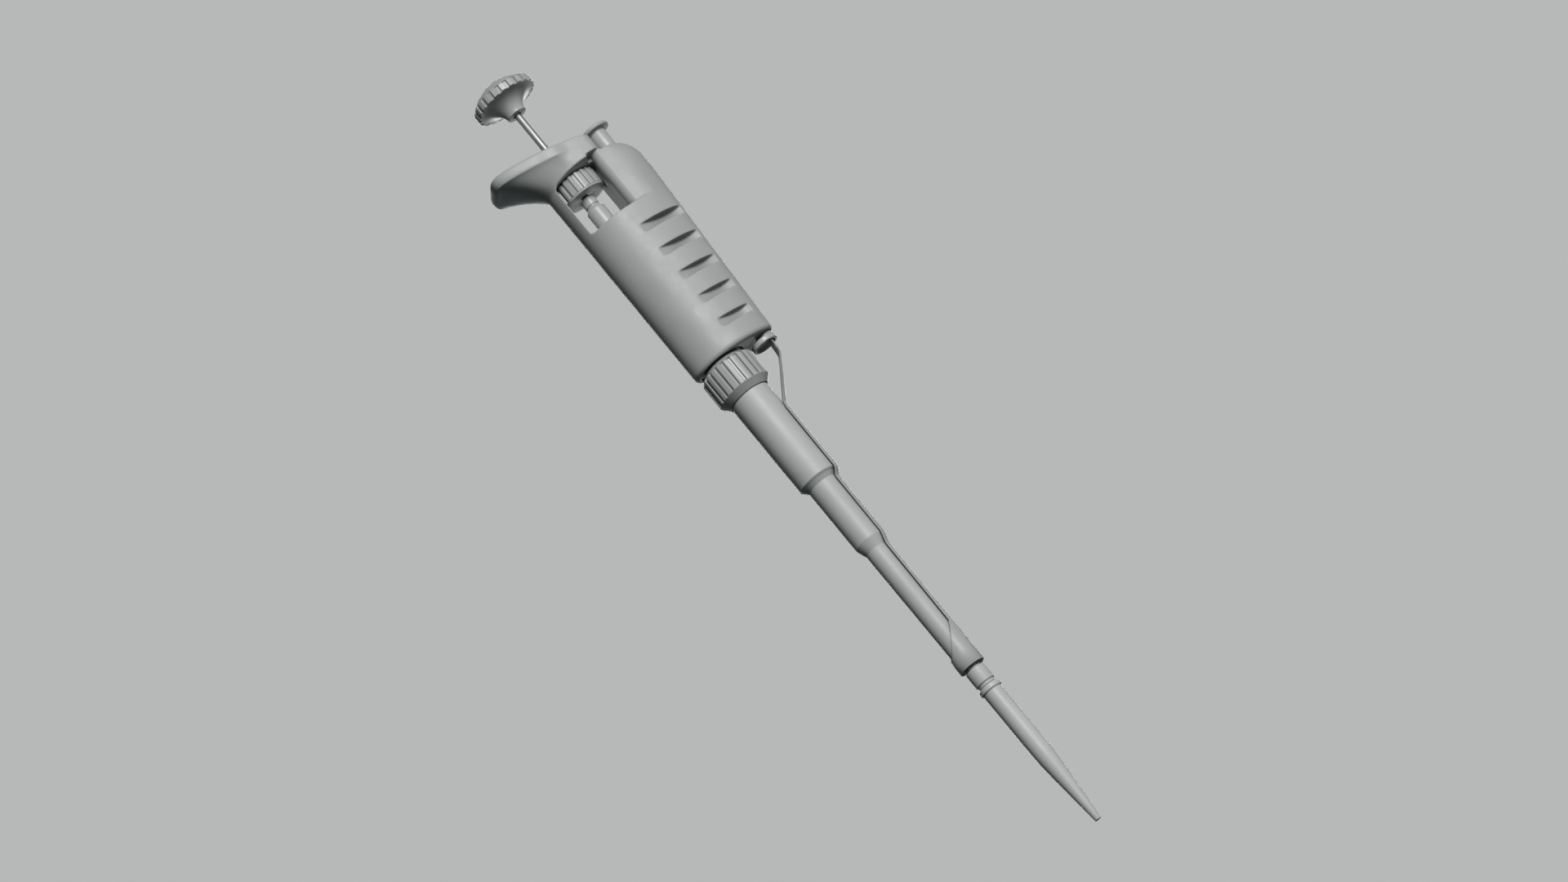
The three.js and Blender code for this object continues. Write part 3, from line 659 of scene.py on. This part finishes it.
# ------------------------------------------------------------------ plunger
def make_push_button():
    sphere, neck, rim_bottom = KNOB_SPHERE, 3.24, 24.8
    centre = KNOB_APEX - sphere
    under = [(1.4, KNOB_NECK_BOTTOM), (neck, KNOB_NECK_BOTTOM, 0.2)]
    for k in range(1, 15):
        t = math.sin(math.pi / 2 * k / 14)
        flare = 6.3 * (1 - math.sqrt(1 - t * t)) ** 0.92
        under.append((neck + flare, KNOB_NECK_BOTTOM + 5.2 * t, 0))
    rim = [(KNOB_RADIUS, rim_bottom, 0.3), (KNOB_RADIUS, 27.1, 0.35)]
    dome = []
    for k in range(13):
        a = lerp(math.asin(9.6 / sphere), math.asin(5.55 / sphere), k / 12)
        dome.append((sphere * math.sin(a), centre + sphere * math.cos(a), 0))
    seat = [(5.45, 30.4, 0.1), (5.45, 29.6, 0.2), (0, 29.6)]
    profile = dense(eased([*under, *rim, *dome, *seat]), 24.4, 27.6, 0.25)
    notches = ribs(KNOB_NOTCHES, 0.6, 0.5, 24.2, 27.7, 0.4)

    def rim_only(angle, r, z):
        return notches(angle, r, z) * smoothstep((r - 9.3) / 0.5)
    inner = [(0, 22.6), (1.4, 22.6), (1.4, KNOB_NECK_BOTTOM)]
    button = turned("knob", eased([*inner, *profile[1:]], 0), KNOB_NOTCHES * 16, ribs=rim_only)
    finish_piece(button, "control", "control_plastic", "plunger", "push_button")
    insert = turned("knob_insert", eased([
        (0, 29.75), (5.2, 29.75, 0.2), (5.2, 30.72, 0.25), (3.9, 31.2, 3), (2.2, 31.56, 3), (0, 31.68),
    ], 0.2), 128)
    finish_piece(insert, "insert", "dark_plastic", "plunger", "button_insert")


def make_plunger_rods():
    rod = turned("plunger_rod", eased([
        (0, -104.6), (1.1, -104.6, 0.2), (1.1, 22.2, 0.3), (0, 22.2),
    ], 0.2), 64)
    finish_piece(rod, "rod", "steel", "plunger", "push_rod")
    collar = turned("stop_collar", eased([
        (1.4, -69.3), (4.4, -69.3, 0.3), (4.4, -68.2, 0.1), (4.1, -68.0, 0.1), (4.1, -67.6, 0.1),
        (4.4, -67.4, 0.1), (4.4, -66.3, 0.3), (1.4, -66.3), (1.4, -69.3),
    ], 0.15), 96)
    finish_piece(collar, "rod", "steel", "plunger", "rod_collar")
    piston = turned("piston_rod", eased([
        (0, -150), (2.24, -150, 0.5), (2.24, -105, 0.3), (0, -105),
    ], 0.3), 96)
    finish_piece(piston, "rod", "steel", "plunger", "piston")
    bushing = turned("head_bushing", eased([
        (1.4, -6.4), (2.4, -6.4), (2.4, 1.2), (2.1, 1.45, 0.1), (1.4, 1.45), (1.4, -6.4),
    ], 0.15), 96)
    finish_piece(bushing, "white", "white_plastic", "body", "rod_bushing")


def coil(name, radius, wire, bottom, top, turns, x=0.0, sides=12):
    """A compression spring whose last turn at each end is closed."""
    steps = turns * 30
    points, faces = [], []
    for k in range(steps + 1):
        t = k / steps
        a = TAU * turns * t
        spread = smoothstep((t * turns) / 1.2) * 0.5 + smoothstep(((t - 1) * turns + 1.2) / 1.2) * 0.5
        lift = lerp(t, spread, 0.25)
        z = lerp(bottom + wire / 2, top - wire / 2, lift)
        out = Vector((math.cos(a), math.sin(a), 0))
        centre = Vector((x, 0, z)) + out * radius
        for i in range(sides):
            b = TAU * i / sides
            points.append(centre + out * (wire / 2 * math.cos(b)) + Vector((0, 0, wire / 2 * math.sin(b))))
    for k in range(steps):
        for i in range(sides):
            j = (i + 1) % sides
            a, b = k * sides + i, k * sides + j
            faces.append((a, b, b + sides, a + sides))
    faces.append(tuple(reversed(range(sides))))
    faces.append(tuple(range(steps * sides, (steps + 1) * sides)))
    obj = new_object(name, points, faces)
    face_outward(obj)
    return obj


def make_springs():
    main = coil("plunger_spring", 2.9, 0.6, SPRING_BOTTOM, SPRING_TOP, 10)
    finish_piece(main, "spring", "steel", "body", "main_spring")
    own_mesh(main)
    blow = coil("second_stop_spring", 4.4, 0.8, -99.8, -85.5, 4)
    finish_piece(blow, "spring", "steel", "body", "blowout_spring")
    eject = coil("return_spring", 2.3, 0.6, EJECTOR_SPRING_BOTTOM, EJECTOR_SPRING_TOP, 8, EJECTOR_X)
    dress(eject, "spring", "steel", "ejector_spring")
    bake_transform(eject)


# ------------------------------------------------------------------ volume setting
def make_dial():
    top, bottom = WHEEL_TOP, WHEEL_BOTTOM
    profile = dense(eased([
        (1.5, bottom), (6.9, bottom, 0.2), (6.95, bottom + 0.5, 0.1), (7.1, bottom + 0.6, 0.1),
        (7.1, top, 0.35), (5.6, top, 0.2), (5.4, top - 0.4, 0.2), (1.5, top - 0.4), (1.5, bottom),
    ], 0.15), bottom + 0.8, top, 0.3)
    shape = ribs(WHEEL_RIBS, 0.5, 0.4, bottom + 0.6, top + 1.2, 0.25)

    def rim_only(angle, r, z):
        return shape(angle, r, z) if r > 6.3 else 0
    wheel = turned("dial_wheel", profile, WHEEL_RIBS * 18, ribs=rim_only)
    finish_piece(wheel, "control", "control_plastic", "dial", "thumbwheel")
    sleeve = turned("dial_sleeve", eased([
        (1.5, -14.7), (2.4, -14.7, 0.15), (2.4, -17.5, 0.2), (2.15, -17.65, 0.1), (2.15, -18.05, 0.1),
        (2.4, -18.2, 0.2), (3.1, -19.25, 0.5), (3.1, -43, 0.2), (2.3, -43), (2.3, -20, 0.2), (1.5, -20),
        (1.5, -14.7),
    ], 0.1), 96)
    finish_piece(sleeve, "control", "control_plastic", "dial", "drive_sleeve")


def digit_mesh(character, radius, centre_z, angle):
    """A digit wrapped on a drum: its middle stands at the angle, counted from +Y towards -X."""
    curve = bpy.data.curves.new("digit", "FONT")
    curve.body = character
    curve.size = DIGIT_HEIGHT
    curve.align_x, curve.align_y = "CENTER", "CENTER"
    curve.extrude = 0.06
    curve.resolution_u = 4
    text = bpy.data.objects.new("digit", curve)
    bpy.context.scene.collection.objects.link(text)
    bpy.context.view_layer.update()
    mesh = bpy.data.meshes.new_from_object(text.evaluated_get(bpy.context.evaluated_depsgraph_get()))
    bpy.data.objects.remove(text)
    for vertex in mesh.vertices:
        x, y, lift = vertex.co
        around = angle + x / radius
        r = radius + lift
        vertex.co = Vector((-r * math.sin(around), r * math.cos(around), centre_z + y)) * MM
    obj = bpy.data.objects.new("digit", mesh)
    bpy.context.scene.collection.objects.link(obj)
    return obj


def make_drum(name, node, body, bottom, shown):
    """A number drum; the digit shown stands in the display at rest."""
    radius, top = DRUM_RADIUS, bottom + DRUM_HEIGHT
    drum = turned(name, eased([
        (3.4, bottom), (radius, bottom, 0.25), (radius, top, 0.25), (3.4, top), (3.4, bottom),
    ], 0.15), 160)
    finish_piece(drum, "white", "white_plastic", body, node)
    digits = []
    for value in range(10):
        angle = -TAU / 10 * (value - shown)
        digits.append(digit_mesh(str(value), radius, bottom + DRUM_HEIGHT / 2, angle))
    marks = joined(name + "_digits", *digits)
    marks.data.materials.clear()
    marks.data.materials.append(MATERIALS["ink"].material)
    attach(marks, body)


def make_inner_pieces():
    screw, ridge = [(1.4, -66), (3.5, -66)], 0.78
    for k in range(20):
        screw += [(3.62, -65.6 + ridge * k), (3.3, -65.2 + ridge * k)]
    screw += [(3.3, -50), (2, -50, 0.2), (2, -27, 0.2), (1.4, -27), (1.4, -66)]
    finish_piece(turned("stop_thread", eased(screw, 0.05, 2), 96), "brass", "brass", "screw", "stop_screw")
    inner = [
        ("thread_nut", "micrometer_nut", "brass", "brass",
         [(3.9, -59.5), (5.9, -59.5), (5.9, -56), (3.9, -56), (3.9, -59.5)]),
        ("grip_liner", "chassis_tube", "dark", "dark_plastic",
         [(6.2, -43.6), (7.2, -43.6), (7.2, -80.4), (5.95, -80.4), (5.95, -87.2), (5.3, -87.2), (5.3, -79),
          (6.2, -79), (6.2, -43.6)]),
        ("stop_washer", "blowout_washer", "rod", "steel",
         [(3.7, -85.2), (5, -85.2), (5, -84.1), (3.7, -84.1), (3.7, -85.2)]),
        ("seal_cap", "seal_retainer", "dark", "dark_plastic",
         [(2.55, -118), (3.3, -118), (3.3, -115.9), (2.55, -115.9), (2.55, -118)]),
        ("lip_seal", "ptfe_seal", "white", "white_plastic",
         [(2.3, -121), (3.3, -121), (3.3, -118.3), (2.3, -118.3), (2.3, -121)]),
    ]
    for name, node, look, slot, profile in inner:
        finish_piece(turned(name, eased(profile, 0.2), 96), look, slot, "body", node)
    section = []
    for k in range(24):
        a = TAU * k / 24
        section.append((2.85 + 0.5 * math.cos(a), -121.9 + 0.5 * math.sin(a)))
    seal = turned("seal_ring", [*section, section[0]], 96)
    finish_piece(seal, "rubber", "seal_rubber", "body", "o_ring")


# ------------------------------------------------------------------ lower assembly
def make_shaft():
    holder = turned("lower_shaft", eased([
        (7.1, -89.7), (7.1, -87.5), (5.6, -87.5), (5.6, -100), (3.6, -100), (3.6, -124),
        (2.54, -124), (2.54, -166), (1.2, -169), (0.9, -222.5), (1.75, -222.5, 0.3),
        (2.15, -206.2, 0.3), (2.78, -205.5, 0.15), (2.78, -204.7, 0.15), (3.2, -204.4, 0.2),
        (3.2, -199.6, 0.2), (2.5, -199.2, 0.15), (2.5, -197.2, 0.2), (3.4, -196.6, 0.2),
        (3.53, -153.6, 1.5), (4.74, -150.3, 1.2), (4.74, -128.3, 0.4), (5.7, -126.95, 0.3),
        (6.43, -126.3, 0.5), (6.43, -89.7), (7.1, -89.7),
    ], 0.15), 144)
    finish_piece(holder, "shaft", "handle_plastic", "body", "tip_holder")
    profile = dense(eased([
        (6.3, -81.1), (6.75, -81.1, 0.2), (8.45, -82.5, 0.3), (8.85, -82.95, 0.3), (8.85, -91.5, 0.25),
        (8.6, -91.75, 0.1), (6.85, -93.6, 0.25), (6.73, -93.6), (6.73, -91.2), (7.5, -91.2), (7.5, -85.2),
        (6.3, -84.2), (6.3, -81.1),
    ], 0.1), -92, -82, 0.3)
    shape = ribs(NUT_RIBS, 0.65, 0.5, -91.55, -80.5, 0.35, 0.24)

    def outside(angle, r, z):
        return shape(angle, r, z) * smoothstep((r - 8.1) / 0.4)
    nut = turned("shaft_nut", profile, NUT_RIBS * 16, ribs=outside)
    finish_piece(nut, "control", "control_plastic", "nut", "connecting_nut")
    washer = turned("thrust_ring", eased([
        (6.73, -90.9), (7.2, -90.9), (7.2, -90), (6.73, -90), (6.73, -90.9),
    ], 0.12), 128)
    finish_piece(washer, "rod", "steel", "thrust_washer", "clamp_ring")


def make_tip():
    tip = turned("disposable_tip", eased([
        (2.95, -205.8, 0.1), (3.4, -205.85, 0.2), (3.58, -206.1, 0.2), (3.58, -207.3, 0.25),
        (3.1, -207.7, 0.25), (3.07, -230, 4), (2.95, -233.5, 4), (2.7, -237, 5),
        (2.14, -243.3, 8), (1.62, -249.2, 6),
        (1.0, -255.95, 0.15), (0.55, -256, 0.1), (0.5, -255.5, 0.2), (1.7, -239, 5), (2.4, -231, 5),
        (2.5, -207.5, 0.5), (2.8, -205.9, 0.2), (2.95, -205.8, 0.1),
    ], 0.2, 6), 128)
    finish_piece(tip, "tip", "tip_plastic", "tip", "pipette_tip")


# ------------------------------------------------------------------ tip ejector
def make_ejector_button():
    button = turned("eject_cap", eased([
        (0, -20), (2.9, -20, 0.3), (2.9, 0.8, 0.5), (4.7, 0.8, 0.25), (4.95, 1.3, 0.3), (4.75, 1.95, 0.4),
        (3.4, 2.18, 2), (0, 2.2),
    ], 0.2), 128, EJECTOR_X)
    finish_piece(button, "control", "control_plastic", "ejector", "ejector_button")
    rod = turned("eject_rod", eased([
        (0, -75.7), (1.5, -75.7), (1.5, -20.3), (0, -20.3),
    ], 0.25), 64, EJECTOR_X)
    finish_piece(rod, "rod", "steel", "ejector", "ejector_rod")
    boss = turned("eject_boss", eased([
        (0, -82.4), (2.5, -82.4), (2.5, -76, 0.3), (0, -76),
    ], 0.2), 96, EJECTOR_X)
    disc = turned("eject_disc", eased([
        (0, -82.7), (3.1, -82.7, 0.2), (3.4, -83.7, 0.2), (4.2, -83.7, 0.3), (4.2, -82, 0.35), (0, -82),
    ], 0.2), 128, 13.75)
    foot = joined("eject_foot", boss, disc)
    finish_piece(foot, "control", "control_plastic", "ejector", "ejector_foot")


ARM_STATIONS = [
    # axis of the gutter, its radius, half angle in degrees, height
    (9.1, 6.7, 16, -83.0), (9.1, 6.7, 22, -84.2), (9.1, 6.7, 24, -86.6), (8.9, 6.7, 24, -87.9),
    (8.3, 6.7, 25, -89.0), (1.1, 6.7, 30, -100.4), (0.4, 6.7, 33, -101.7), (0.05, 6.75, 36, -102.9),
    (0, 6.75, 38, -104), (0, 6.75, 40, -126.2), (0, 6.6, 40, -127.0), (0, 5.35, 43, -128.9),
    (0, 5.1, 43, -129.6), (0, 5.05, 44, -150.2), (0, 4.9, 44, -151.0), (0, 4.0, 46, -154.0),
    (0, 3.9, 46, -154.8), (0, 3.88, 48, -175), (0, 3.88, 52, -191),
]


def gutter_ring(hub, radius, degrees, z, steps=14):
    """A bent strip's section: outer arc, rounded edge, inner arc back, rounded edge."""
    half = math.radians(degrees)
    ease = 0.35 * SHEET

    def point(k, r):
        a = lerp(-half, half, k / steps)
        return hub + r * math.cos(a), r * math.sin(a), z

    def rounding(k):
        return {0: ease, 1: ease * 0.25}.get(min(k, steps - k), 0)
    ring = [point(k, radius + SHEET - rounding(k)) for k in range(steps + 1)]
    ring += [point(k, radius + rounding(k)) for k in range(steps, -1, -1)]
    return ring


def make_ejector_arm():
    rings, parts = [], 4
    for a, b in zip(ARM_STATIONS, ARM_STATIONS[1:]):
        for k in range(parts):
            rings.append(gutter_ring(*[lerp(u, v, k / parts) for u, v in zip(a, b)]))
    rings.append(gutter_ring(*ARM_STATIONS[-1]))
    strip = lofted("arm_strip", rings, smooth_angle=50)
    inner, outer, low, slope = 3.8, 4.22, -198.5, 1.5
    count, ease = 144, 0.12
    rows = []
    for r, part, lift in (
        (inner + ease, 0, 0), (outer - ease, 0, 0), (outer, 0, ease), (outer, 0.5, 0), (outer, 1, -ease),
        (outer - ease, 1, 0), (inner + ease, 1, 0), (inner, 1, -ease), (inner, 0.5, 0), (inner, 0, ease),
    ):
        row = []
        for i in range(count):
            a = TAU * i / count
            high = -187.9 + slope * outer * math.cos(a)
            row.append((r * math.cos(a), r * math.sin(a), lerp(low, high, part) + lift))
        rows.append(row)
    rows.append(rows[0])
    sleeve = lofted("arm_sleeve", rows, capped=False, smooth_angle=50)
    arm = joined("eject_arm", strip, sleeve)
    finish_piece(arm, "sheet", "steel", "ejector", "ejector_arm")


# ------------------------------------------------------------------ light and camera, in metres
LIGHT_DISTANCE = 1.4
AIM_Z, AIM_DISTANCE, AIM_SHIFT = -0.111, 1.626, 0.0006


def area_light(name, towards, size, power):
    """A soft light that shines on the object from the given direction."""
    light = bpy.data.lights.new(name, "AREA")
    light.shape = "DISK"
    light.size = size
    light.energy = power
    obj = bpy.data.objects.new(name, light)
    bpy.context.scene.collection.objects.link(obj)
    direction = Vector(towards).normalized()
    obj.location = Vector((0, 0, -0.1)) + direction * LIGHT_DISTANCE
    obj.rotation_euler = direction.to_track_quat("Z", "Y").to_euler()


def make_world():
    """A plain grey surround, seen as it is by the camera, dimmer in what it lights."""
    world = bpy.data.worlds.new("studio")
    world.use_nodes = True
    tree = world.node_tree
    tree.nodes.clear()
    output = tree.nodes.new("ShaderNodeOutputWorld")
    path = tree.nodes.new("ShaderNodeLightPath")

    def background(colour):
        node = tree.nodes.new("ShaderNodeBackground")
        node.inputs["Color"].default_value = (*colour, 1)
        return node.outputs[0]

    def mixed(factor, a, b):
        node = tree.nodes.new("ShaderNodeMixShader")
        tree.links.new(factor, node.inputs[0])
        tree.links.new(a, node.inputs[1])
        tree.links.new(b, node.inputs[2])
        return node.outputs[0]
    diffuse, mirrored, seen = (0.014, 0.019, 0.019), (0.22, 0.23, 0.23), (0.472, 0.484, 0.479)
    lit = mixed(path.outputs["Is Glossy Ray"], background(diffuse), background(mirrored))
    tree.links.new(mixed(path.outputs["Is Camera Ray"], lit, background(seen)), output.inputs["Surface"])
    bpy.context.scene.world = world


def make_camera():
    tilt, turn = math.radians(15.7), math.radians(15)
    out = Vector((-math.cos(tilt) * math.sin(turn), -math.cos(tilt) * math.cos(turn), -math.sin(tilt)))
    down = Vector((0, 0, -1))
    down = (down - out * down.dot(out)).normalized()
    side = out.cross(down)
    roll = math.atan2(0.7713, 0.63647)
    right = down * math.cos(roll) + side * math.sin(roll)
    up = -down * math.sin(roll) + side * math.cos(roll)
    camera = bpy.data.objects.new("camera", bpy.data.cameras.new("camera"))
    bpy.context.scene.collection.objects.link(camera)
    turn_matrix = Matrix((right, up, out)).transposed().to_4x4()
    place = Vector((0, 0, AIM_Z)) + out * AIM_DISTANCE - right * AIM_SHIFT
    camera.matrix_world = Matrix.Translation(place) @ turn_matrix
    camera.data.lens = 128.06
    camera.data.sensor_width = 36
    camera.data.clip_start, camera.data.clip_end = 0.05, 20
    bpy.context.scene.camera = camera
    return right, up, out


def make_lights(right, up, out):
    area_light("key", up * 0.68 + out * 0.73, 0.6, 17)
    area_light("side", right * 0.9 + up * 0.4 + out * 0.3, 0.9, 0.4)
    area_light("back", -out, 1.2, 14)


make_handle()
make_display_pane()
make_push_button()
make_plunger_rods()
make_springs()
make_dial()
make_drum("drum_units", "units_drum", "dial", -41.4, 0)
make_drum("drum_tens", "tens_drum", "tens", -37.5, 0)
make_drum("drum_hundreds", "hundreds_drum", "hundreds", -33.6, 1)
make_inner_pieces()
make_shaft()
make_tip()
make_ejector_button()
make_ejector_arm()
make_world()
make_lights(*make_camera())
bpy.context.scene.view_settings.view_transform = "Standard"
